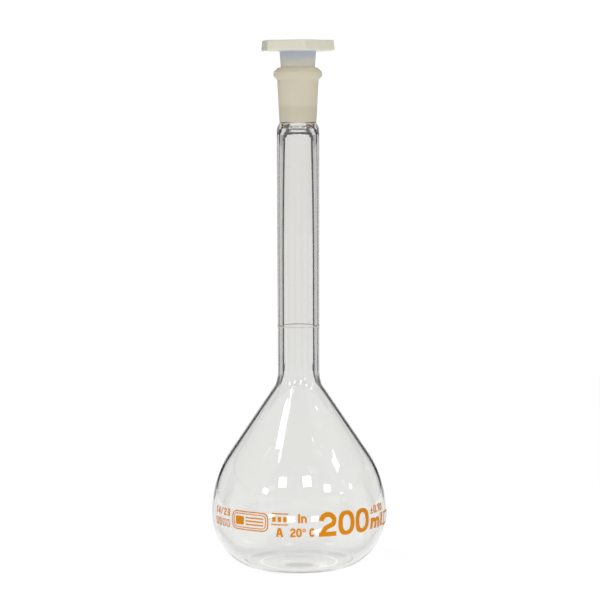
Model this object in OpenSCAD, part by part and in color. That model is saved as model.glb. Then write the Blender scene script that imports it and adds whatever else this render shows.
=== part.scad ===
// Volumetric flask, 200 ml, with an NS 14/23 ground socket and a moulded plug stopper.
// Millimetres, +Z up. The flask stands on z = 0 with its axis on Z; the front of the print faces -Y.

/* [Bulb] */
// Widest outside diameter of the bulb
bulb_d = 74.6; // [72:0.1:78]
// Height of the widest point above the bench
belly_z = 23.65; // [22:0.05:28]
// Outside diameter of the flat standing ring
foot_d = 34; // [28:1:38]
// How full the curve from the foot to the belly is; 2 is a plain ellipse
foot_power = 1.93; // [1.8:0.01:2.2]
// Width of the flat standing ring
foot_land = 1; // [1:0.5:3]
// Height of the pushed-up middle of the base
punt_h = 0.6; // [0.4:0.1:3]
// Radius of the shoulder arc above the widest point
shoulder_r = 45.4; // [42:0.1:48]
// Half angle of the cone between shoulder and neck, in degrees
cone_angle = 34.2; // [32:0.1:37]
// Radius of the flare at the foot of the neck
flare_r = 17; // [10:0.5:22]
// How far the neck has flared where it was welded to the bulb, in degrees
weld_angle = 20; // [12:1:32]
// Glass thickness of the bulb
bulb_wall = 1.125; // [0.8:0.025:1.4]
// Glass thickness of the base
base_wall = 1.18; // [1:0.01:3]

/* [Neck] */
// Outside diameter where the neck leaves the bulb
neck_d_low = 17.62; // [17.2:0.02:18.2]
// Outside diameter where the neck meets the socket
neck_d_high = 17.92; // [17.6:0.02:18.4]
// Bore of the neck
neck_bore = 14.2; // [13.4:0.1:15]
// Volume held up to the graduation ring, in millilitres
capacity_ml = 200; // [198:1:202]

/* [Ground socket] */
// Height of the rim above the bench
rim_z = 212.2; // [208:0.1:218]
// Diameter of the ground cone at the rim (NS 14/23)
joint_d = 14.5; // [14.4:0.1:14.6]
// Length of the ground cone (NS 14/23)
joint_l = 23; // [22:0.5:24]
// Outside diameter of the bead at the rim
bead_d = 20.5; // [20:0.1:22]
// Height of the bead, bevels included
bead_h = 5.1; // [4.5:0.1:6]

/* [Stopper] */
// Width of the six-sided grip plate, corner to corner
head_d = 33.2; // [28:0.2:34]
// Thickness of the grip plate
head_h = 4.4; // [4:0.1:6]
// How far the plug stands out of the socket
plug_out = 7; // [5:0.1:8]
// How deep the plug sits in the socket
plug_in = 16.1; // [14:0.1:18]
// Wall thickness of the hollow plug
plug_wall = 1.3; // [1:0.1:2]

/* [Enamel] */
// Thickness of the fired enamel
enamel_t = 0.1; // [0.06:0.02:0.2]
// Height of the graduation ring's line
ring_h = 0.4; // [0.3:0.1:0.8]
// Height of the big capacity figures
figure_h = 10.2; // [9:0.1:11]
// Height of the print's base line above the bench
print_z = 19.1; // [18:0.1:20]

/* [Hidden] */
$fn = 96;

glass = [0.86, 0.90, 0.90, 0.45];
frosted = [0.84, 0.82, 0.76];
polyethylene = [0.88, 0.87, 0.81];
orange = [0.89, 0.55, 0.04];
cream = [0.93, 0.91, 0.84];

belly_r = bulb_d / 2;
foot_r = foot_d / 2;
neck_r_low = neck_d_low / 2;
neck_r_high = neck_d_high / 2;
bore_r = neck_bore / 2;
// Centre of the shoulder arc lies on the belly plane, inside or past the axis
shoulder_x = belly_r - shoulder_r;
cone_foot = [shoulder_x + shoulder_r * cos(cone_angle), belly_z + shoulder_r * sin(cone_angle)];
cone_l = (cone_foot.x - neck_r_low - flare_r * (1 - cos(weld_angle))) / sin(cone_angle);
// The neck begins where the flare has turned upright
neck_z = cone_foot.y + cone_l * cos(cone_angle) + flare_r * sin(weld_angle);
// The ground cone ends here; the socket piece goes on below it to where it was joined to the neck
throat_z = rim_z - joint_l;
weld_drop = 13;
socket_z = throat_z - weld_drop;
// From this height up to the socket the bore closes in a little
taper_z = 125;
bore_closing = 0.3;
bore_r_high = bore_r - bore_closing;
// A ground joint narrows by one part in ten on its diameter
joint_taper = 1 / 20;
plug_gap = 0.05;
degree_mm = belly_r * PI / 180;

function mix(a, b, s) = a + (b - a) * s;
function ease(x) = let (s = max(0, min(1, x))) s * s * (3 - 2 * s);
function arc(centre, r, from, to, n) =
    [for (i = [0:n]) centre + r * [cos(mix(from, to, i / n)), sin(mix(from, to, i / n))]];
function oval(w, h, power = 2, n = 40) =
    [for (i = [0:n - 1]) let (a = 360 * i / n)
        [w / 2 * sign(cos(a)) * pow(abs(cos(a)), 2 / power),
         h / 2 * sign(sin(a)) * pow(abs(sin(a)), 2 / power)]];
function backwards(path) = [for (i = [len(path) - 1:-1:0]) path[i]];
// Unit vector to the left of a path at point i
function left_of(path, i) =
    let (d = path[min(i + 1, len(path) - 1)] - path[max(i - 1, 0)]) [-d.y, d.x] / norm(d);
function shifted(path, gap) = [for (i = [0:len(path) - 1]) path[i] + gap * left_of(path, i)];
function ribbon(path, w) = concat(shifted(path, w / 2), backwards(shifted(path, -w / 2)));

// Outside of the bulb from the standing ring up to the neck, as [radius, height]
foot_curve = [for (a = [0:5:85])
    [mix(foot_r, belly_r, pow(sin(a), 2 / foot_power)),
     belly_z * (1 - pow(cos(a), 2 / foot_power))]];
shoulder = arc([shoulder_x, belly_z], shoulder_r, 0, cone_angle, 9);
cone_steps = 5;
cone = [for (i = [1:cone_steps - 1])
    cone_foot + cone_l * i / cone_steps * [-sin(cone_angle), cos(cone_angle)]];
flare = arc([neck_r_low + flare_r, neck_z], flare_r, 180 + weld_angle, 180, 8);
bulb_out = concat(foot_curve, shoulder, cone, flare);

// The blown wall is thick at the foot, thin over the belly and thicker again at the neck
heel_z = 9;
neck_wall = neck_r_low - bore_r;
function wall_at(z) = z < belly_z
    ? mix(base_wall, bulb_wall, ease(z / heel_z))
    : mix(bulb_wall, neck_wall, ease((z - cone_foot.y) / (neck_z - cone_foot.y)));
punt_edge = foot_r - foot_land;
// The base is pushed up in one smooth wave; the inside runs a base_wall above the outside
punt_steps = 10;
punt = [for (i = [0:punt_steps])
    [punt_edge * i / punt_steps, punt_h * (1 + cos(180 * i / punt_steps)) / 2]];
dome = [for (p = punt) p + [0, base_wall]];
bulb_in = concat(dome,
    [for (i = [0:len(bulb_out) - 2]) bulb_out[i] + wall_at(bulb_out[i].y) * left_of(bulb_out, i)],
    [[bore_r, neck_z]]);

// Volume swept by an inside path that starts on the axis, in cubic millimetres
function swept(path, i = 1) = i >= len(path) ? 0 :
    let (a = path[i - 1], b = path[i])
    PI / 3 * (b.y - a.y) * (a.x * a.x + a.x * b.x + b.x * b.x) + swept(path, i + 1);
// The ring marks the stated capacity: what the bulb lacks is made up in the neck
ring_z = neck_z + (capacity_ml * 1000 - swept(bulb_in)) / (PI * bore_r * bore_r);
function neck_r_at(z) = mix(neck_r_low, neck_r_high, (z - neck_z) / (socket_z - neck_z));

module turned(points) {
    rotate_extrude(convexity = 4) polygon(points);
}

module bulb() {
    color(glass) turned(concat(punt, bulb_out, backwards(bulb_in)));
}

module neck_tube() {
    color(glass) difference() {
        translate([0, 0, neck_z]) cylinder(h = socket_z - neck_z, r1 = neck_r_low, r2 = neck_r_high);
        translate([0, 0, neck_z - 1]) cylinder(h = taper_z - neck_z + 1, r = bore_r);
        translate([0, 0, taper_z]) cylinder(h = socket_z - taper_z + 0.01, r1 = bore_r, r2 = bore_r_high);
    }
}

module ground_socket() {
    bead_r = bead_d / 2;
    bevel_top = [2.0, 1.8];
    bevel_low = [1.5, 1.5];
    // The neck rounds in to the socket over a quarter of an upright oval
    shoulder_in = 1.05;
    shoulder_up = 3;
    shoulder_z = throat_z - 3.8;
    skirt_r = 7.8;
    outside = concat(
        [for (a = [0:9:72])
            [neck_r_high - shoulder_in * (1 - cos(a)), shoulder_z + shoulder_up * sin(a)]],
        [[skirt_r + 0.05, throat_z - 0.6],
         [skirt_r, throat_z + 0.15],
         [bead_r - bevel_low.x, rim_z - bead_h],
         [bead_r, rim_z - bead_h + bevel_low.y],
         [bead_r, rim_z - bevel_top.y],
         [bead_r - bevel_top.x, rim_z]]);
    // Under the ground cone a small lip stands in, and below it the bore opens out as a dome
    lip_r = 4.9;
    dome_r = 7;
    dome_foot = [bore_r_high - 0.16, throat_z - 6.2];
    inside = concat(
        [[joint_d / 2, rim_z],
         [joint_d / 2 - joint_l * joint_taper, throat_z],
         [lip_r, throat_z - 0.8]],
        arc([dome_foot.x - dome_r, dome_foot.y], dome_r, 42, 0, 8),
        [[bore_r_high, socket_z]]);
    color(frosted) turned(concat([[neck_r_high, socket_z]], outside, inside));
}

module graduation_ring() {
    color(cream) turned([
        [neck_r_at(ring_z - ring_h / 2), ring_z - ring_h / 2],
        [neck_r_at(ring_z - ring_h / 2) + enamel_t, ring_z - ring_h / 2],
        [neck_r_at(ring_z + ring_h / 2) + enamel_t, ring_z + ring_h / 2],
        [neck_r_at(ring_z + ring_h / 2), ring_z + ring_h / 2]]);
}

// One moulding: a six-sided plate on a hollow tapered plug that is open below
module stopper() {
    head_z = rim_z + plug_out;
    plug_r = joint_d / 2 - plug_gap;
    tip_r = plug_r - plug_in * joint_taper;
    under_head_r = 7.65;
    roof_z = head_z - 1;
    corner_turn = -80.4;
    color(polyethylene) union() {
        translate([0, 0, head_z]) rotate(corner_turn) cylinder(h = head_h, d = head_d, $fn = 6);
        turned([
            [tip_r - plug_wall, rim_z - plug_in],
            [tip_r, rim_z - plug_in],
            [plug_r, rim_z],
            [under_head_r, head_z],
            [0, head_z],
            [0, roof_z],
            [under_head_r - plug_wall, roof_z],
            [plug_r - plug_wall, rim_z]]);
    }
}

// A flat print, drawn with x along the belly and y up, laid on the curved glass.
// degrees is where its x = 0 comes, counted from the front towards +X.
module fired(degrees, z) {
    reach = 8;
    color(orange) intersection() {
        turned(concat(shifted(bulb_out, -enamel_t), backwards(bulb_out)));
        rotate(degrees) translate([0, -belly_r + reach / 2, z]) rotate([90, 0, 0])
            linear_extrude(reach) children();
    }
}

// Glyphs stand on y = 0 and are centred on x = 0; h is their height and t their stroke
module bar(x, y, w, h) {
    translate([x - w / 2, y]) square([w, h]);
}

module zero(w, h, t) {
    translate([0, h / 2]) difference() {
        polygon(oval(w, h, 2.5));
        polygon(oval(w - 2 * t, h - 1.7 * t, 2.3));
    }
}

module two(w, h, t) {
    bowl = (w - t) / 2;
    squash = 0.92;
    crown = [for (p = arc([0, 0], bowl, 180, -35, 14)) [p.x, h - t / 2 - bowl * squash + p.y * squash]];
    intersection() {
        polygon(ribbon(concat(crown, [[-0.12 * w, 0.36 * h], [-w / 2 + 0.42 * t, 0.04 * h]]), t));
        translate([-w / 2, 0]) square([w, h]);
    }
    bar(0, 0, w, 0.95 * t);
}

module letter_m(w, h, t) {
    arch = (w - t) / 4;
    for (x = [-w / 2 + t / 2, 0, w / 2 - t / 2]) bar(x, 0, t, h - arch);
    bar(-w / 2 + t / 2, 0, t, h);
    for (x = [-arch, arch]) polygon(ribbon(arc([x, h - arch - t / 2], arch, 180, 0, 10), t));
}

module letter_n(w, h, t) {
    arch = (w - t) / 2;
    bar(-arch, 0, t, h);
    bar(arch, 0, t, h - arch - t / 2);
    polygon(ribbon(arc([0, h - arch - t / 2], arch, 180, 0, 10), t));
}

module letter_a(w, h, t) {
    foot = w / 2 - t / 2;
    intersection() {
        union() for (side = [-1, 1]) polygon(ribbon([[side * foot, -t], [side * 0.1 * t, h + 0.5 * t]], t));
        translate([-w / 2, 0]) square([w, h]);
    }
    bar(0, 0.24 * h, 0.6 * w, 0.8 * t);
}

module letter_c(w, h, t) {
    opening = 42;
    bow = [for (p = arc([0, 0], 1, opening, 360 - opening, 18))
        [p.x * (w - t) / 2, h / 2 + p.y * (h - t) / 2]];
    polygon(ribbon(bow, t));
}

module degree_ring(d, t) {
    difference() {
        circle(d = d);
        circle(d = d - 2 * t);
    }
}

module one(w, h, t) {
    bar(w / 2 - t / 2, 0, t, h);
    polygon(ribbon([[w / 2 - t, h - t / 2], [-w / 2, h - 1.5 * t]], 0.8 * t));
}

module three(w, h, t) {
    bowl = h / 4 + t / 8;
    for (y = [h / 2 - bowl + t / 4 + t / 8, h / 2 + bowl - t / 4 - t / 8])
        polygon(ribbon([for (p = arc([0, 0], 1, 150, -150, 14)) [p.x * (w - t) / 2, y + p.y * (bowl - t / 4)]], t));
}

module four(w, h, t) {
    bar(0.2 * w, 0, t, h);
    bar(0, 0.22 * h, w, 0.85 * t);
    polygon(ribbon([[0.2 * w, h - t / 3], [-w / 2 + t / 3, 0.25 * h]], 0.8 * t));
}

module stroke(w, h, t) {
    polygon(ribbon([[-w / 2, 0], [w / 2, h]], t));
}

module plus_minus(w, t) {
    bar(0, 0, w, t);
    bar(0, 2.2 * t, w, t);
    bar(0, 1.2 * t, t, w);
}

module outline(w, h, corner, t) {
    difference() {
        translate([-w / 2, 0]) rounded(w, h, corner);
        translate([-w / 2 + t, t]) rounded(w - 2 * t, h - 2 * t, max(corner - t, 0.2));
    }
}

module rounded(w, h, corner) {
    polygon(concat(
        arc([w - corner, corner], corner, -90, 0, 4),
        arc([w - corner, h - corner], corner, 0, 90, 4),
        arc([corner, h - corner], corner, 90, 180, 4),
        arc([corner, corner], corner, 180, 270, 4)));
}

// Two lines of small print run left of the big figures
small_h = 3.8;
upper_z = print_z + 5.9;

module capacity_print() {
    weight = 0.2 * figure_h;
    fired(18.7, print_z) two(11.8 * degree_mm, figure_h, weight);
    fired(32, print_z) zero(12.2 * degree_mm, figure_h, weight);
    fired(45.2, print_z) zero(12.2 * degree_mm, figure_h, weight);
}

module unit_print() {
    x_height = 4.7;
    weight = 1.6;
    fired(59.4, print_z + 0.5) letter_m(11.6 * degree_mm, x_height, weight);
    fired(68.4, print_z + 0.5) bar(0, 0, weight, 1.25 * x_height);
}

module tolerance_print() {
    digit_h = 3.4;
    digit_w = 2.1;
    weight = 0.7;
    tall = print_z + 7;
    fired(54.9, tall) plus_minus(2, 0.55);
    fired(58.7, tall) zero(digit_w, digit_h, weight);
    fired(61.2, tall) bar(0, 0, weight, weight);
    fired(63.8, tall) one(1.4, digit_h, weight);
    fired(67.6, tall) zero(digit_w, digit_h, weight);
}

module calibration_print() {
    weight = 0.95;
    fired(0.1, upper_z) bar(0, 0, weight, small_h);
    fired(3.2, upper_z) letter_n(2.4, 0.76 * small_h, 0.85 * weight);
}

module temperature_print() {
    digit_w = 2.4;
    weight = 0.85;
    fired(-3.9, print_z) two(digit_w, small_h, weight);
    fired(0, print_z) zero(digit_w, small_h, weight);
    fired(3.3, print_z + 2.2) translate([0, 0.7]) degree_ring(1.5, 0.4);
    fired(8.4, print_z) letter_c(2.5, small_h, weight);
}

module class_print() {
    fired(-12.5, print_z) letter_a(3.5, small_h, 0.9);
}

// Two bars with three plain squares between them
module approval_bars() {
    bar_w = 7.1;
    middle = -12.5;
    fired(middle, print_z + 9.4) bar(0, 0, bar_w, 0.5);
    fired(middle, print_z + 4.9) bar(0, 0, bar_w, 0.5);
    for (step = [-3.6, 0, 3.6]) fired(middle + step, print_z + 6.3) bar(0, 0, 1.5, 2.1);
}

// A plain double outline with a solid block and three ruled lines
module maker_panel() {
    panel_w = 28 * degree_mm;
    panel_h = 8;
    block_w = 4.4;
    rule_w = panel_w - block_w - 5.4;
    fired(-34, print_z + 1.7) {
        outline(panel_w, panel_h, 2.6, 0.5);
        translate([0, 1]) outline(panel_w - 2, panel_h - 2, 1.8, 0.4);
        translate([-panel_w / 2 + 2.2, 2.2]) rounded(block_w, panel_h - 4.4, 0.6);
        for (row = [0:2]) bar(block_w / 2 + 0.5, 2.3 + row * 1.4, rule_w, 0.6);
    }
}

module joint_size_print() {
    digit_h = 3.1;
    digit_w = 1.9;
    weight = 0.65;
    low = print_z + 6.5;
    fired(-67.4, low) one(1.3, digit_h, weight);
    fired(-63.7, low) four(digit_w, digit_h, weight);
    fired(-59.8, low) stroke(1.5, digit_h, 0.8 * weight);
    fired(-56, low) two(digit_w, digit_h, weight);
    fired(-52.2, low) three(digit_w, digit_h, weight);
}

// Four small open boxes in a row
module batch_squares() {
    box_w = 2.1;
    box_h = 3.2;
    for (degrees = [-66.5:4.6:-52.5]) fired(degrees, print_z + 1.8) outline(box_w, box_h, 0.4, 0.45);
}

module write_on_frame() {
    fired(80, print_z) outline(14 * degree_mm, 5.7, 0.8, 0.5);
}

bulb();
neck_tube();
ground_socket();
graduation_ring();
stopper();
capacity_print();
unit_print();
tolerance_print();
calibration_print();
temperature_print();
class_print();
approval_bars();
maker_panel();
joint_size_print();
batch_squares();
write_on_frame();
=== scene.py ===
"""Looks for a 200 ml volumetric flask: clear blown glass, a ground socket, a milky plug stopper
and fired enamel print. Everything is in metres, in the CAD model's own frame."""

import math

import bmesh
import bpy
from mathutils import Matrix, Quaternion, Vector


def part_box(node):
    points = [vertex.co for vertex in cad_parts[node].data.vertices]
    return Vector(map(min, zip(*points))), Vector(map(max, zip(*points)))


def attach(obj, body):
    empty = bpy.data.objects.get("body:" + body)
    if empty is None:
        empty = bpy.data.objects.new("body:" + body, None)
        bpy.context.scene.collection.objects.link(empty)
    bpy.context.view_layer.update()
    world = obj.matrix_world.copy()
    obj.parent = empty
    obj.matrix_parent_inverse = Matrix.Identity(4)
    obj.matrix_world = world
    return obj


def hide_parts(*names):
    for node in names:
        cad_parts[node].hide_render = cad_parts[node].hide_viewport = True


MM = 0.001
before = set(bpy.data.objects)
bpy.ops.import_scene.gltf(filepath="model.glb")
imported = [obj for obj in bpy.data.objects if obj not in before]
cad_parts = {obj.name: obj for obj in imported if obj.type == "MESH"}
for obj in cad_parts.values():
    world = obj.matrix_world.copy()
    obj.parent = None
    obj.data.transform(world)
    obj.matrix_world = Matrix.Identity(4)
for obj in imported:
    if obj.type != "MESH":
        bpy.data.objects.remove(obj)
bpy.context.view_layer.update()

# ---------------------------------------------------------------- places taken from the frame
bulb_low, bulb_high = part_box("bulb")
socket_low, socket_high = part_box("ground_socket")
stopper_low, stopper_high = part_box("stopper")

BELLY_R = bulb_high[0]
NECK_Z = bulb_high[2]
RIM_Z = socket_high[2]
SOCKET_Z = socket_low[2]
BEAD_R = socket_high[0]
HEAD_TOP = stopper_high[2]
PLUG_TIP_Z = stopper_low[2]

# ---------------------------------------------------------------- the glass, as the CAD shapes it
TURNS = 256
BELLY_Z = 23.65 * MM
FOOT_R = 17 * MM
FOOT_LAND = 1 * MM
FOOT_POWER = 1.93
FOOT_STEPS = 72
PUNT_H = 0.6 * MM
PUNT_STEPS = 32
SHOULDER_R = 45.4 * MM
CONE_ANGLE = 34.2
FLARE_R = 17 * MM
WELD_ANGLE = 20
BULB_WALL = 1.125 * MM
BASE_WALL = 1.18 * MM
# the base's wall turns into the bulb's by this height, with a thicker heel low down
HEEL_Z = 9 * MM
HEEL_EXTRA = 0.5 * MM
HEEL_AT = 0.9 * MM
HEEL_SPREAD = 0.55 * MM
NECK_R_LOW = 8.81 * MM
NECK_R_HIGH = 8.96 * MM
# the neck's thick wall starts this far below the flare
WELD_DROP = 1.5 * MM

# the ground cone and its bead rim; the rim's own outline ends JOINT_SPLIT inside the cone
JOINT_R = 7.25 * MM
JOINT_L = 23 * MM
JOINT_TAPER = 1 / 20
JOINT_SPLIT = 5 * MM
THROAT_R = JOINT_R - JOINT_L * JOINT_TAPER
THROAT_Z = RIM_Z - JOINT_L
BEAD_H = 5.1 * MM
BEAD_BELOW = 1.5 * MM
BEAD_ABOVE = 1.8 * MM
BEAD_TOP_IN = 2 * MM
BEAD_SOFT = 0.3 * MM

# the socket's oval shoulder on the neck, and the skirt between it and the bead
SOCKET_IN = 1.05 * MM
SOCKET_UP = 3 * MM
SOCKET_DROP = 3.8 * MM
SOCKET_TURN = 72
SKIRT_R = 7.8 * MM
SKIRT_BEND_R = 7.82 * MM
SKIRT_BEND_DROP = 0.6 * MM
SKIRT_RISE = 0.15 * MM

# below the cone: a lip, a dome, then the bore, which closes in a little from TAPER_Z up to the dome
LIP_R = 4.9 * MM
LIP_DROP = 0.8 * MM
LIP_SOFT = 0.35 * MM
DOME_R = 7 * MM
DOME_DROP = 6.2 * MM
DOME_TURN = 42
BORE_R = 7.1 * MM
BORE_CLOSING = 0.46 * MM
BORE_POWER = 2.2
BORE_STEPS = 24
TAPER_Z = 125 * MM

# the glass looks a shade deeper in the neck; the change is spread over this height
TINT_LOW = 72 * MM
TINT_HIGH = 108 * MM
TINT_STEPS = 6

# ---------------------------------------------------------------- the stopper
HEAD_R = 16.6 * MM
HEAD_H = 4.4 * MM
HEAD_Z = HEAD_TOP - HEAD_H
HEAD_TURN = -80.4
HEAD_SIDES = 6
HEAD_CORNER_R = 1.4 * MM
HEAD_FLAT_R = 6 * MM
# the plate's sides lean in by the draft, above a short straight foot
HEAD_DRAFT = 0.35 * MM
HEAD_SOFT = 0.35 * MM
HEAD_FOOT = 0.3 * MM
HEAD_FOOT_IN = 0.02 * MM
HEAD_FOOT_SOFT = 0.25 * MM
UNDER_HEAD_R = 7.65 * MM
UNDER_HEAD_FILLET = 0.6 * MM
PLUG_R = 7.2 * MM
PLUG_WALL = 1.3 * MM
# the plug's tip, as steps in from the wall's face and up from the end
TIP_OUTSIDE = [(-0.01 * MM, 0.3 * MM), (0.1 * MM, 0.08 * MM), (0.3 * MM, 0)]
TIP_INSIDE = [(0.2 * MM, 0), (0, 0.2 * MM)]
# the hollow's top, as steps in from the wall's inner face and down from the roof
ROOF_Z = HEAD_Z - 1 * MM
ROOF_STEPS = [(0.1 * MM, 0.8 * MM), (0.8 * MM, 0)]
# edges sharper than this stay crisp
CRISP_ANGLE = 50


def mix(a, b, s):
    return a + (b - a) * s


def ease(x):
    s = max(0.0, min(1.0, x))
    return s * s * (3 - 2 * s)


def arc(centre, radius, start, end, steps):
    """Points on an arc, angles in degrees."""
    angles = [math.radians(mix(start, end, i / steps)) for i in range(steps + 1)]
    return [(centre[0] + radius * math.cos(a), centre[1] + radius * math.sin(a)) for a in angles]


def line(a, b, steps):
    """Points after a, up to and including b."""
    return [(mix(a[0], b[0], i / steps), mix(a[1], b[1], i / steps)) for i in range(1, steps + 1)]


def rounded(corners, radius, steps=4):
    """A path through corners, each inner one cut by a small curve."""
    path = [corners[0]]
    for before, corner, after in zip(corners, corners[1:], corners[2:]):
        at = Vector(corner)
        a = at + (Vector(before) - at).normalized() * radius
        b = at + (Vector(after) - at).normalized() * radius
        for i in range(steps + 1):
            s = i / steps
            point = a * (1 - s) ** 2 + at * 2 * s * (1 - s) + b * s * s
            path.append((point.x, point.y))
    path.append(corners[-1])
    return path


def shifted_left(path, gap_at):
    """The path moved to its left by gap_at(height), keeping its ends' directions."""
    moved = []
    for i, point in enumerate(path):
        before = Vector(path[max(i - 1, 0)])
        after = Vector(path[min(i + 1, len(path) - 1)])
        ahead = (after - before).normalized()
        gap = gap_at(point[1])
        moved.append((point[0] - ahead.y * gap, point[1] + ahead.x * gap))
    return moved


def bulb_outside():
    """From the foot over the belly, shoulder and straight cone to the flare under the neck."""
    power = 2 / FOOT_POWER
    foot = [
        (mix(FOOT_R, BELLY_R, math.sin(a) ** power), BELLY_Z * (1 - math.cos(a) ** power))
        for a in (math.radians(90 * i / FOOT_STEPS) for i in range(FOOT_STEPS))
    ]
    shoulder = arc((BELLY_R - SHOULDER_R, BELLY_Z), SHOULDER_R, 0, CONE_ANGLE, 36)
    flare = arc((NECK_R_LOW + FLARE_R, NECK_Z), FLARE_R, 180 + WELD_ANGLE, 180, 24)
    return foot + shoulder + line(shoulder[-1], flare[0], 24)[:-1] + flare


def wall_at(z):
    """Thickness of the bulb's glass at a height."""
    if z < BELLY_Z:
        heel = HEEL_EXTRA * math.exp(-(((z - HEEL_AT) / HEEL_SPREAD) ** 2))
        return mix(BASE_WALL, BULB_WALL, ease(z / HEEL_Z)) + heel
    weld_z = NECK_Z - FLARE_R * math.sin(math.radians(WELD_ANGLE)) - WELD_DROP
    return mix(BULB_WALL, NECK_R_LOW - BORE_R, ease((z - weld_z) / (NECK_Z - weld_z)))


def socket_outside():
    """From the top of the neck over the shoulder, skirt and bead, and a little way into the cone."""
    shoulder = [
        (
            NECK_R_HIGH - SOCKET_IN * (1 - math.cos(a)),
            THROAT_Z - SOCKET_DROP + SOCKET_UP * math.sin(a),
        )
        for a in (math.radians(i) for i in range(0, SOCKET_TURN + 1, 4))
    ]
    skirt_top = (SKIRT_R, THROAT_Z + SKIRT_RISE)
    skirt_bend = (SKIRT_BEND_R, THROAT_Z - SKIRT_BEND_DROP)
    skirt = rounded([shoulder[-1], skirt_bend, skirt_top], BEAD_SOFT)
    bead_low = RIM_Z - BEAD_H
    bead = rounded(
        [
            skirt_top,
            (BEAD_R - BEAD_BELOW, bead_low),
            (BEAD_R, bead_low + BEAD_BELOW),
            (BEAD_R, RIM_Z - BEAD_ABOVE),
            (BEAD_R - BEAD_TOP_IN, RIM_Z),
            (JOINT_R, RIM_Z),
            (JOINT_R - JOINT_SPLIT * JOINT_TAPER, RIM_Z - JOINT_SPLIT),
        ],
        BEAD_SOFT,
    )
    return shoulder + skirt[1:] + bead[1:]


def throat():
    """Inside of the neck from the end of the ground cone down: a small lip, a dome, then the bore."""
    dome_z = THROAT_Z - DOME_DROP
    dome = arc((BORE_R - BORE_CLOSING - DOME_R, dome_z), DOME_R, DOME_TURN, 0, 16)
    lip = rounded([(THROAT_R, THROAT_Z), (LIP_R, THROAT_Z - LIP_DROP), dome[0]], LIP_SOFT)
    bore = []
    for i in range(1, BORE_STEPS + 1):
        s = 1 - i / BORE_STEPS
        bore.append((BORE_R - BORE_CLOSING * s**BORE_POWER, mix(TAPER_Z, dome_z, s)))
    return lip[1:] + dome[1:] + bore


def glass_profile():
    """Outside from the middle of the base up to the rim, then the inside back down to the axis."""
    punt_edge = FOOT_R - FOOT_LAND
    punt = [
        (punt_edge * i / PUNT_STEPS, PUNT_H * (1 + math.cos(math.pi * i / PUNT_STEPS)) / 2)
        for i in range(PUNT_STEPS + 1)
    ]
    floor = [(radius, height + BASE_WALL) for radius, height in punt]
    bulb = bulb_outside()
    bulb_inside = shifted_left(bulb, wall_at)[:-1] + [(BORE_R, NECK_Z)]
    socket = socket_outside()
    neck_top = (NECK_R_HIGH, SOCKET_Z)
    neck = line(bulb[-1], neck_top, 60) + line(neck_top, socket[0], 6)
    cone = line(socket[-1], (THROAT_R, THROAT_Z), 24)
    bore = line((BORE_R, TAPER_Z), (BORE_R, NECK_Z), 16)[:-1]
    outside = punt + bulb + neck + socket[1:]
    return outside + cone + throat() + bore + bulb_inside[::-1] + floor[::-1]


def skin_between(bm, a, b):
    """Faces from one ring of vertices to the next; either ring may be a single point."""
    count = max(len(a), len(b))
    faces = []
    for i in range(count):
        j = (i + 1) % count
        corners = [a[i % len(a)], a[j % len(a)], b[j % len(b)], b[i % len(b)]]
        corners = [v for n, v in enumerate(corners) if v not in corners[:n]]
        faces.append(bm.faces.new(corners))
    return faces


def smooth_piece(name, bm, materials):
    """The bmesh as an object of the scene, with its faces smooth and turned outwards."""
    bmesh.ops.recalc_face_normals(bm, faces=bm.faces)
    for face in bm.faces:
        face.smooth = True
    mesh = bpy.data.meshes.new(name)
    bm.to_mesh(mesh)
    bm.free()
    for material in materials:
        mesh.materials.append(material)
    piece = bpy.data.objects.new(name, mesh)
    bpy.context.collection.objects.link(piece)
    return piece


def turned(name, profile, materials, slot_of):
    """A solid of revolution whose profile starts and ends on the axis."""
    bm = bmesh.new()
    rings = []
    for radius, height in profile:
        if radius < 1e-7:
            rings.append([bm.verts.new((0, 0, height))])
            continue
        around = (2 * math.pi * i / TURNS for i in range(TURNS))
        rings.append([bm.verts.new((radius * math.cos(a), radius * math.sin(a), height)) for a in around])
    for i in range(len(rings) - 1):
        index = slot_of(profile[i], profile[i + 1])
        for face in skin_between(bm, rings[i], rings[i + 1]):
            face.material_index = index
    return smooth_piece(name, bm, materials)


# ---------------------------------------------------------------- materials
GLASS_IOR = 1.473
# the faint grey of the glass is carried by its outer skin, so light that only skims the wall is toned too
BULB_TINT = (0.815, 0.812, 0.790)
NECK_TINT = (0.786, 0.779, 0.755)
# the ground cone without and with the plug behind it: painted shade below the plug's tip, painted light where
# the plug shows through
GROUND_SHADED_BARE = (0.80, 0.745, 0.59)
GROUND_LIT_OVER_PLUG = (0.885, 0.83, 0.665)
# the stopper: its plate, and the plug at the rim and right under the plate; the plug's colours are painted
# shade, darker than the plate and bluish under it where the plate's shadow falls
HEAD_CREAM = (0.80, 0.78, 0.665)
PLUG_SHADED_CREAM = (0.70, 0.68, 0.60)
PLUG_SHADED_BLUISH = (0.52, 0.57, 0.70)
PRINT_ORANGE = (0.76, 0.262, 0.002)
RING_CREAM = (0.80, 0.78, 0.70)


def principled(name, **values):
    """A Principled material with the given sockets set; also its tree and its shader."""
    material = bpy.data.materials.new(name)
    material.use_nodes = True
    shader = material.node_tree.nodes["Principled BSDF"]
    for socket, value in values.items():
        shader.inputs[socket.replace("_", " ")].default_value = value
    return material, material.node_tree, shader


def add(tree, kind, **settings):
    node = tree.nodes.new(kind)
    for name, value in settings.items():
        setattr(node, name, value)
    return node


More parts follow.
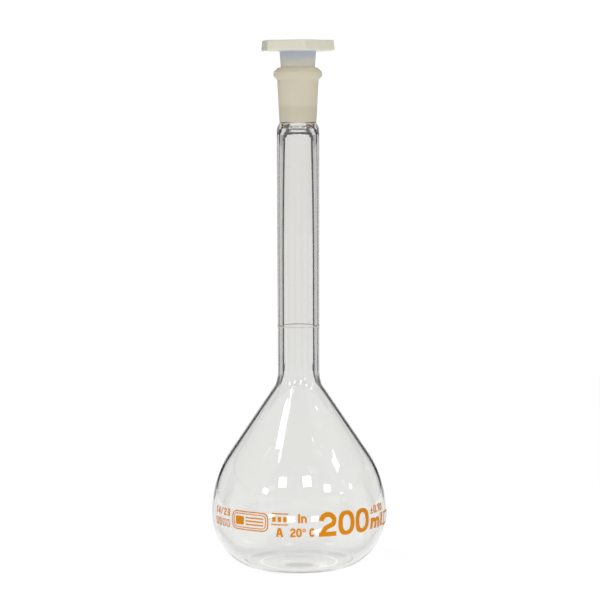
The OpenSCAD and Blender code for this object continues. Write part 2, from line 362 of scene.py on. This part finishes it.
def height_blend(tree, low, high, low_colour, high_colour):
    """A colour that changes with height in the object's own frame."""
    place = add(tree, "ShaderNodeTexCoord")
    split = add(tree, "ShaderNodeSeparateXYZ")
    tree.links.new(place.outputs["Object"], split.inputs[0])
    span = add(tree, "ShaderNodeMapRange", interpolation_type="SMOOTHSTEP")
    span.inputs["From Min"].default_value = low
    span.inputs["From Max"].default_value = high
    tree.links.new(split.outputs["Z"], span.inputs["Value"])
    blend = add(tree, "ShaderNodeMix", data_type="RGBA")
    blend.inputs["A"].default_value = (*low_colour, 1)
    blend.inputs["B"].default_value = (*high_colour, 1)
    tree.links.new(span.outputs["Result"], blend.inputs["Factor"])
    return blend.outputs["Result"]


def grain(tree, shader, scale, depth):
    """Fine bumps over the whole surface."""
    place = add(tree, "ShaderNodeTexCoord")
    noise = add(tree, "ShaderNodeTexNoise")
    noise.inputs["Scale"].default_value = scale
    noise.inputs["Detail"].default_value = 3
    tree.links.new(place.outputs["Object"], noise.inputs["Vector"])
    bump = add(tree, "ShaderNodeBump")
    bump.inputs["Strength"].default_value = 0.5
    bump.inputs["Distance"].default_value = depth
    tree.links.new(noise.outputs[0], bump.inputs["Height"])
    tree.links.new(bump.outputs["Normal"], shader.inputs["Normal"])


def clear_glass(name, tint):
    return principled(
        name,
        Base_Color=(*tint, 1),
        Roughness=0.0,
        IOR=GLASS_IOR,
        Transmission_Weight=1.0,
    )[0]


def ground_glass():
    material, tree, shader = principled(
        "ground_glass",
        Roughness=0.6,
        IOR=GLASS_IOR,
        Transmission_Weight=0.3,
        Specular_IOR_Level=0.25,
    )
    # painted light and shade: the cone is lighter over the plug and darker below the plug's tip
    colour = height_blend(tree, PLUG_TIP_Z - 1 * MM, PLUG_TIP_Z + 1 * MM, GROUND_SHADED_BARE, GROUND_LIT_OVER_PLUG)
    tree.links.new(colour, shader.inputs["Base Color"])
    grain(tree, shader, 2600, 0.05 * MM)
    return material


def polyethylene():
    material, tree, shader = principled(
        "milky_polyethylene",
        Roughness=0.4,
        IOR=1.5,
        Subsurface_Weight=0.6,
        Subsurface_Radius=(1.0, 0.95, 0.85),
        Subsurface_Scale=2.5 * MM,
        Specular_IOR_Level=0.2,
    )
    # painted shade: the plug is darker than the plate and turns bluish up towards the plate's shadow
    plug = height_blend(tree, RIM_Z + 1 * MM, HEAD_Z, PLUG_SHADED_CREAM, PLUG_SHADED_BLUISH)
    head = add(tree, "ShaderNodeMix", data_type="RGBA")
    place = add(tree, "ShaderNodeTexCoord")
    split = add(tree, "ShaderNodeSeparateXYZ")
    tree.links.new(place.outputs["Object"], split.inputs[0])
    step = add(tree, "ShaderNodeMath", operation="GREATER_THAN")
    step.inputs[1].default_value = HEAD_Z - 0.1 * MM
    tree.links.new(split.outputs["Z"], step.inputs[0])
    tree.links.new(step.outputs[0], head.inputs["Factor"])
    tree.links.new(plug, head.inputs["A"])
    head.inputs["B"].default_value = (*HEAD_CREAM, 1)
    tree.links.new(head.outputs["Result"], shader.inputs["Base Color"])
    grain(tree, shader, 900, 0.06 * MM)
    return material


def enamel(name, colour, alpha=1.0):
    return principled(
        name,
        Base_Color=(*colour, 1),
        Roughness=0.45,
        Specular_IOR_Level=0.08,
        Alpha=alpha,
    )[0]


SHADES = [
    clear_glass(f"clear_glass_{i}", tuple(mix(a, b, i / TINT_STEPS) for a, b in zip(BULB_TINT, NECK_TINT)))
    for i in range(TINT_STEPS + 1)
]
INSIDE = clear_glass("inside_glass", (1.0, 1.0, 1.0))
GROUND = ground_glass()
MILKY = polyethylene()
ORANGE = enamel("orange_enamel", PRINT_ORANGE)
CREAM = enamel("ring_enamel", RING_CREAM, 0.6)


# ---------------------------------------------------------------- pieces
def flask_glass():
    profile = glass_profile()
    order = {point: i for i, point in enumerate(profile)}
    # the innermost point at the top, where the inside of the glass begins
    rim = profile.index(max(profile, key=lambda point: (round(point[1], 6), -point[0])))

    def slot_of(a, b):
        """Which of the materials below the stretch from a to b takes."""
        if min(a[1], b[1]) >= THROAT_Z - 1e-6:
            return 0
        if order[a] >= rim:
            return 1
        risen = ((a[1] + b[1]) / 2 - TINT_LOW) / (TINT_HIGH - TINT_LOW)
        return 2 + round(TINT_STEPS * max(0, min(1, risen)))

    piece = turned("flask_glass", profile, [GROUND, INSIDE, *SHADES], slot_of)
    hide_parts("bulb", "neck_tube", "ground_socket")
    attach(piece, "flask")


def hexagon(apothem, corner_r):
    """One turn of a six-sided outline with rounded corners, as (angle, radius) pairs."""
    outline = []
    half = math.pi / HEAD_SIDES
    centre_x = apothem - corner_r
    centre_y = centre_x * math.tan(half)
    for side in range(HEAD_SIDES):
        middle = math.radians(HEAD_TURN) + half + side * 2 * half
        for i in range(-8, 8):
            y = centre_y * i / 8
            outline.append((middle + math.atan2(y, apothem), math.hypot(apothem, y)))
        for i in range(8):
            a = 2 * half * i / 8
            x, y = centre_x + corner_r * math.cos(a), centre_y + corner_r * math.sin(a)
            outline.append((middle + math.atan2(y, x), math.hypot(x, y)))
    return outline


def stopper():
    """Six-sided plate with softened edges on a hollow tapered plug, one closed skin."""
    apothem = HEAD_R * math.cos(math.pi / HEAD_SIDES)
    outline = hexagon(apothem, HEAD_CORNER_R)
    rings = [[(0.0, 0.0, HEAD_TOP)]]

    def hexagon_ring(inset, height):
        scale = (apothem - inset) / apothem
        rings.append([(scale * r * math.cos(a), scale * r * math.sin(a), height) for a, r in outline])

    def round_ring(radius, height):
        rings.append([(radius * math.cos(a), radius * math.sin(a), height) for a, _ in outline])

    round_ring(HEAD_FLAT_R, HEAD_TOP)
    hexagon_ring(HEAD_DRAFT + 2 * HEAD_SOFT, HEAD_TOP)
    for i in range(6):
        a = math.radians(90 - 18 * i)
        hexagon_ring(HEAD_DRAFT + HEAD_SOFT * (1 - math.cos(a)), HEAD_TOP - HEAD_SOFT * (1 - math.sin(a)))
    hexagon_ring(HEAD_FOOT_IN, HEAD_Z + HEAD_FOOT)
    for i in range(5):
        a = math.radians(22.5 * i)
        hexagon_ring(HEAD_FOOT_SOFT * (1 - math.cos(a)), HEAD_Z + HEAD_FOOT_SOFT * (1 - math.sin(a)))
    hexagon_ring(2 * HEAD_SOFT, HEAD_Z)
    for i in range(7):
        a = math.radians(90 - 15 * i)
        radius = UNDER_HEAD_R + UNDER_HEAD_FILLET * (1 - math.cos(a))
        round_ring(radius, HEAD_Z - UNDER_HEAD_FILLET * (1 - math.sin(a)))
    for i in range(1, 7):
        round_ring(mix(UNDER_HEAD_R, PLUG_R, i / 6), mix(HEAD_Z - UNDER_HEAD_FILLET, RIM_Z, i / 6))
    tip_r = PLUG_R - (RIM_Z - PLUG_TIP_Z) * JOINT_TAPER
    for inset, rise in TIP_OUTSIDE:
        round_ring(tip_r - inset, PLUG_TIP_Z + rise)
    for inset, rise in TIP_INSIDE:
        round_ring(tip_r - PLUG_WALL + inset, PLUG_TIP_Z + rise)
    round_ring(PLUG_R - PLUG_WALL, RIM_Z)
    for inset, drop in ROOF_STEPS:
        round_ring(UNDER_HEAD_R - PLUG_WALL - inset, ROOF_Z - drop)
    rings.append([(0.0, 0.0, ROOF_Z)])

    bm = bmesh.new()
    made = [[bm.verts.new(point) for point in ring] for ring in rings]
    for upper, lower in zip(made, made[1:]):
        skin_between(bm, upper, lower)
    piece = smooth_piece("stopper_body", bm, [MILKY])
    piece.data.set_sharp_from_angle(angle=math.radians(CRISP_ANGLE))
    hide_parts("stopper")
    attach(piece, "stopper")


def finish_cad_nodes():
    """The print keeps its CAD nodes; the other nodes are replaced above."""
    for name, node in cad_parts.items():
        if name in ("bulb", "neck_tube", "ground_socket", "stopper"):
            continue
        node.data.materials.clear()
        node.data.materials.append(CREAM if name == "graduation_ring" else ORANGE)


flask_glass()
stopper()
finish_cad_nodes()


# ---------------------------------------------------------------- stage
# the table, and the even white surround that the camera sees beyond it
TABLE_R = 0.72
TABLE_SIDES = 120
TABLE_GLOW = 0.93
TABLE_WHITE = 0.2
ROOM_GLOW = 0.05
BACKDROP_R = 6.0
BACKDROP_GLOW = 1.03
# a ring of screens with fillers between them, hidden from the camera; the glow of each screen and
# of the filler after it starts behind the flask
SCREENS = 8
SCREEN_DISTANCE = 1.6
SCREEN_HALF_ANGLE = math.radians(12)
SCREEN_LOW = -0.7
SCREEN_HIGH = 0.55
SCREEN_GLOW = (0.94, 0.55, 0.6, 0.7, 0.7, 0.7, 0.6, 0.55)
GAP_GLOW = (0.0, 0.25, 0.4, 0.6, 0.6, 0.4, 0.25, 0.0)
# strips seen only through the glass, counted in degrees from straight behind the flask to each side:
# start and end azimuth, low and high edge in metres, and glow
STRIP_DISTANCE = 1.5
THROUGH_GLASS = [
    (0, 16.5, -0.13, 0.2, 0.94),
    (16.5, 27, -0.13, 0.2, 0.0),
    (27, 60, -0.13, 0.2, 0.72),
    (30, 130, 0.56, 2.6, 0.85),
]
# the same kind of strip beyond the table's edge, for the views from the sides and the back:
# middle azimuth and glow of each, and their half width, low and high edge
ROUND_ABOUT = [(90, 1.1), (135, 0.9), (180, 0.9), (225, 0.9), (270, 1.1)]
ROUND_HALF = 15
ROUND_LOW = -0.7
ROUND_HIGH = 0.08
# dark wedges on the table behind each side of the belly, seen only through the glass: the point (x, y)
# that they fan out from, the degrees they fan between, then near and far edge in y and glow of each
SHADE_START = (35 * MM, 10 * MM)
SHADE_FROM = 12
SHADE_TO = 28
SHADE_LIFT = 0.2 * MM
SHADES_ON_TABLE = [(0.05, 0.22, 0.6), (0.22, 0.75, 0.0)]
# lamps, placed as seen from a point in the bulb; azimuth runs from -Y towards +X, all in degrees
LIGHT_DISTANCE = 2.4
LIGHT_AIM = Vector((0, 0, BELLY_Z + 10 * MM))
# met only by mirror reflections: corners as azimuth and elevation, and radiance
GLINTS = [
    ("streak_left", [(-66.5, 52.4), (-59.5, 52.5), (-54, 53.8), (-46.8, 55.3), (-48.5, 56), (-57, 55.1)], 10),
    ("streak_right", [(83.0, 45.4), (81.5, 40.6), (67.9, 36.1), (70.8, 48.5)], 10),
    ("shard_upper", [(72.7, 50.6), (80.1, 48.1), (81.8, 47.3), (73.3, 50.2)], 8),
    ("shard_lower", [(39.9, 57.0), (43.0, 56.4), (43.8, 56.0), (38.9, 56.9)], 6),
    ("neck_strip", [(70, -1.4), (90, -1.4), (90, 0.9), (70, 0.6)], 4),
]
# the room's lights, those named side_ without a mirror reflection of their own:
# name, azimuth, elevation, width, height, tilt and radiance
CEILING_LIGHTS = [
    ("row_far_left", -49, 22.9, 7.5, 6, -12, 9),
    ("row_left", -26, 35.3, 10, 11, 8, 10),
    ("row_middle", 13.1, 37.3, 11, 12, 0, 10),
    ("row_right", 42.7, 26.7, 9, 7.5, -12, 10),
    ("row_far_right", 61.3, 16.7, 4.5, 4.5, -10, 7),
    ("side_left", -55, 61.5, 15, 11, -20, 10),
    ("side_right", 82, 41.8, 10, 6.5, -20, 10),
    ("row_end", 79.8, 20, 5, 6.5, 0, 6),
]
# the camera, fitted to the photograph's outline: lens in mm, place, and degrees downwards and of roll
CAMERA_LENS = 136.75
CAMERA_AT = (0.00088, -0.9639, 0.19633)
CAMERA_DOWN = 4.879
CAMERA_ROLL = 0.15


def emission(name, strength):
    """An even white glow."""
    material = bpy.data.materials.new(name)
    material.use_nodes = True
    tree = material.node_tree
    tree.nodes.clear()
    out = add(tree, "ShaderNodeOutputMaterial")
    glow = add(tree, "ShaderNodeEmission")
    glow.inputs["Color"].default_value = (1, 1, 1, 1)
    glow.inputs["Strength"].default_value = strength
    tree.links.new(glow.outputs[0], out.inputs["Surface"])
    return material


def seen_by(piece, camera=False, glossy=False, through=False, diffuse=False):
    """Which rays meet a piece of the stage."""
    piece.visible_camera = camera
    piece.visible_glossy = glossy
    piece.visible_transmission = through
    piece.visible_diffuse = diffuse
    piece.visible_shadow = False


def sheet(name, corners, faces, material):
    """A flat or folded piece of the stage."""
    mesh = bpy.data.meshes.new(name)
    mesh.from_pydata(corners, [], faces)
    mesh.materials.append(material)
    piece = bpy.data.objects.new(name, mesh)
    bpy.context.collection.objects.link(piece)
    return piece


def standing_strip(name, start, end, low, high, material):
    """Part of a round wall about the flask, azimuths in degrees from +Y towards +X."""
    steps = max(2, math.ceil(abs(end - start) / 4))
    corners = []
    for i in range(steps + 1):
        a = math.radians(mix(start, end, i / steps))
        x, y = STRIP_DISTANCE * math.sin(a), STRIP_DISTANCE * math.cos(a)
        corners += [(x, y, low), (x, y, high)]
    faces = [(2 * i, 2 * i + 1, 2 * i + 3, 2 * i + 2) for i in range(steps)]
    piece = sheet(name, corners, faces, material)
    seen_by(piece, through=True)


def table_shade(name, side, near, far, material):
    """A wedge lying on the table, met only by light that comes through the glass."""
    corners = []
    for y, turn in ((near, SHADE_FROM), (near, SHADE_TO), (far, SHADE_TO), (far, SHADE_FROM)):
        x = SHADE_START[0] + (y - SHADE_START[1]) * math.tan(math.radians(turn))
        corners.append((side * x, y, SHADE_LIFT))
    piece = sheet(name, corners, [(0, 1, 2, 3)], material)
    seen_by(piece, through=True)


def backdrop():
    """An even white surround for the camera alone."""
    mesh = bpy.data.meshes.new("backdrop")
    bm = bmesh.new()
    bmesh.ops.create_icosphere(bm, subdivisions=3, radius=BACKDROP_R)
    bm.to_mesh(mesh)
    bm.free()
    mesh.materials.append(emission("backdrop_white", BACKDROP_GLOW))
    piece = bpy.data.objects.new("backdrop", mesh)
    bpy.context.collection.objects.link(piece)
    seen_by(piece, camera=True)


def towards_light(azimuth, elevation):
    az, el = math.radians(azimuth), math.radians(elevation)
    return Vector((math.sin(az) * math.cos(el), -math.cos(az) * math.cos(el), math.sin(el)))


def glint(name, outline, radiance):
    """A lamp of any outline that only shows as a reflection in the glass."""
    corners = [LIGHT_AIM + towards_light(az, el) * LIGHT_DISTANCE for az, el in outline]
    piece = sheet(name, corners, [tuple(range(len(corners)))], emission(f"{name}_glow", radiance))
    seen_by(piece, glossy=True)


def panel(name, turn, half_angle, material):
    """A screen that faces the axis, hidden from the camera; turn is in radians from +Y towards +X."""
    mesh = bpy.data.meshes.new(name)
    w = SCREEN_DISTANCE * math.tan(half_angle)
    h = (SCREEN_HIGH - SCREEN_LOW) / 2
    mesh.from_pydata([(-w, -h, 0), (w, -h, 0), (w, h, 0), (-w, h, 0)], [], [(0, 1, 2, 3)])
    mesh.materials.append(material)
    piece = bpy.data.objects.new(name, mesh)
    middle = (SCREEN_LOW + SCREEN_HIGH) / 2
    centre = Vector((SCREEN_DISTANCE * math.sin(turn), SCREEN_DISTANCE * math.cos(turn), middle))
    piece.location = centre
    piece.rotation_euler = (Vector((0, 0, middle)) - centre).to_track_quat("Z", "Y").to_euler()
    bpy.context.collection.objects.link(piece)
    seen_by(piece, glossy=True, through=True, diffuse=True)


def table():
    """A round white top that glows a little and also takes light from the lamps."""
    material = bpy.data.materials.new("table_white")
    material.use_nodes = True
    tree = material.node_tree
    tree.nodes.clear()
    out = add(tree, "ShaderNodeOutputMaterial")
    glow = add(tree, "ShaderNodeEmission")
    glow.inputs["Strength"].default_value = TABLE_GLOW
    matte = add(tree, "ShaderNodeBsdfDiffuse")
    matte.inputs["Color"].default_value = (TABLE_WHITE, TABLE_WHITE, TABLE_WHITE, 1)
    both = add(tree, "ShaderNodeAddShader")
    tree.links.new(glow.outputs[0], both.inputs[0])
    tree.links.new(matte.outputs[0], both.inputs[1])
    tree.links.new(both.outputs[0], out.inputs["Surface"])
    around = (2 * math.pi * i / TABLE_SIDES for i in range(TABLE_SIDES))
    rim = [(TABLE_R * math.cos(a), TABLE_R * math.sin(a), 0) for a in around]
    sheet("table", rim, [tuple(range(TABLE_SIDES))], material)


def room():
    world = bpy.data.worlds.new("studio")
    world.use_nodes = True
    background = world.node_tree.nodes["Background"]
    background.inputs["Color"].default_value = (1, 1, 1, 1)
    background.inputs["Strength"].default_value = ROOM_GLOW
    bpy.context.scene.world = world


def stage():
    """A round white table in an even white surround, with what the glass refracts and mirrors."""
    backdrop()
    for i, (start, end, low, high, glow) in enumerate(THROUGH_GLASS):
        material = emission(f"strip_{i}", glow)
        standing_strip(f"strip_right_{i}", start, end, low, high, material)
        standing_strip(f"strip_left_{i}", -start, -end, low, high, material)
    for turn, glow in ROUND_ABOUT:
        material = emission(f"round_white_{turn}", glow)
        start, end = turn - ROUND_HALF, turn + ROUND_HALF
        standing_strip(f"round_{turn}", start, end, ROUND_LOW, ROUND_HIGH, material)
    for i, (near, far, glow) in enumerate(SHADES_ON_TABLE):
        material = emission(f"shade_{i}", glow)
        table_shade(f"shade_right_{i}", 1, near, far, material)
        table_shade(f"shade_left_{i}", -1, near, far, material)
    half_step = math.pi / SCREENS
    for i in range(SCREENS):
        turn = 2 * half_step * i
        panel(f"screen_{i}", turn, SCREEN_HALF_ANGLE, emission(f"screen_white_{i}", SCREEN_GLOW[i]))
        if GAP_GLOW[i] > 0:
            grey = emission(f"filler_grey_{i}", GAP_GLOW[i])
            panel(f"filler_{i}", turn + half_step, half_step - SCREEN_HALF_ANGLE, grey)
    table()
    room()
    for light in CEILING_LIGHTS:
        ceiling_light(*light)
    for lamp in GLINTS:
        glint(*lamp)


def ceiling_light(name, azimuth, elevation, wide, tall, tilt, radiance):
    """A square panel of light facing the bulb, hidden from the camera."""
    towards = towards_light(azimuth, elevation)
    data = bpy.data.lights.new(name, "AREA")
    data.shape = "RECTANGLE"
    data.size = 2 * LIGHT_DISTANCE * math.tan(math.radians(wide / 2))
    data.size_y = 2 * LIGHT_DISTANCE * math.tan(math.radians(tall / 2))
    data.energy = radiance * math.pi * data.size * data.size_y
    piece = bpy.data.objects.new(name, data)
    piece.location = LIGHT_AIM + towards * LIGHT_DISTANCE
    turn = Quaternion((0, 0, 1), math.radians(tilt))
    piece.rotation_euler = (towards.to_track_quat("Z", "Y") @ turn).to_euler()
    piece.visible_camera = False
    piece.visible_glossy = not name.startswith("side_")
    bpy.context.collection.objects.link(piece)


def camera():
    data = bpy.data.cameras.new("camera")
    data.sensor_width = 36
    data.lens = CAMERA_LENS
    piece = bpy.data.objects.new("camera", data)
    piece.location = CAMERA_AT
    piece.rotation_euler = (math.radians(90 - CAMERA_DOWN), math.radians(CAMERA_ROLL), 0)
    bpy.context.collection.objects.link(piece)
    bpy.context.scene.camera = piece


stage()
camera()
scene = bpy.context.scene
scene.view_settings.view_transform = "Standard"
scene.view_settings.look = "None"
scene.cycles.max_bounces = 24
scene.cycles.transmission_bounces = 20
scene.cycles.glossy_bounces = 12
scene.cycles.transparent_max_bounces = 12
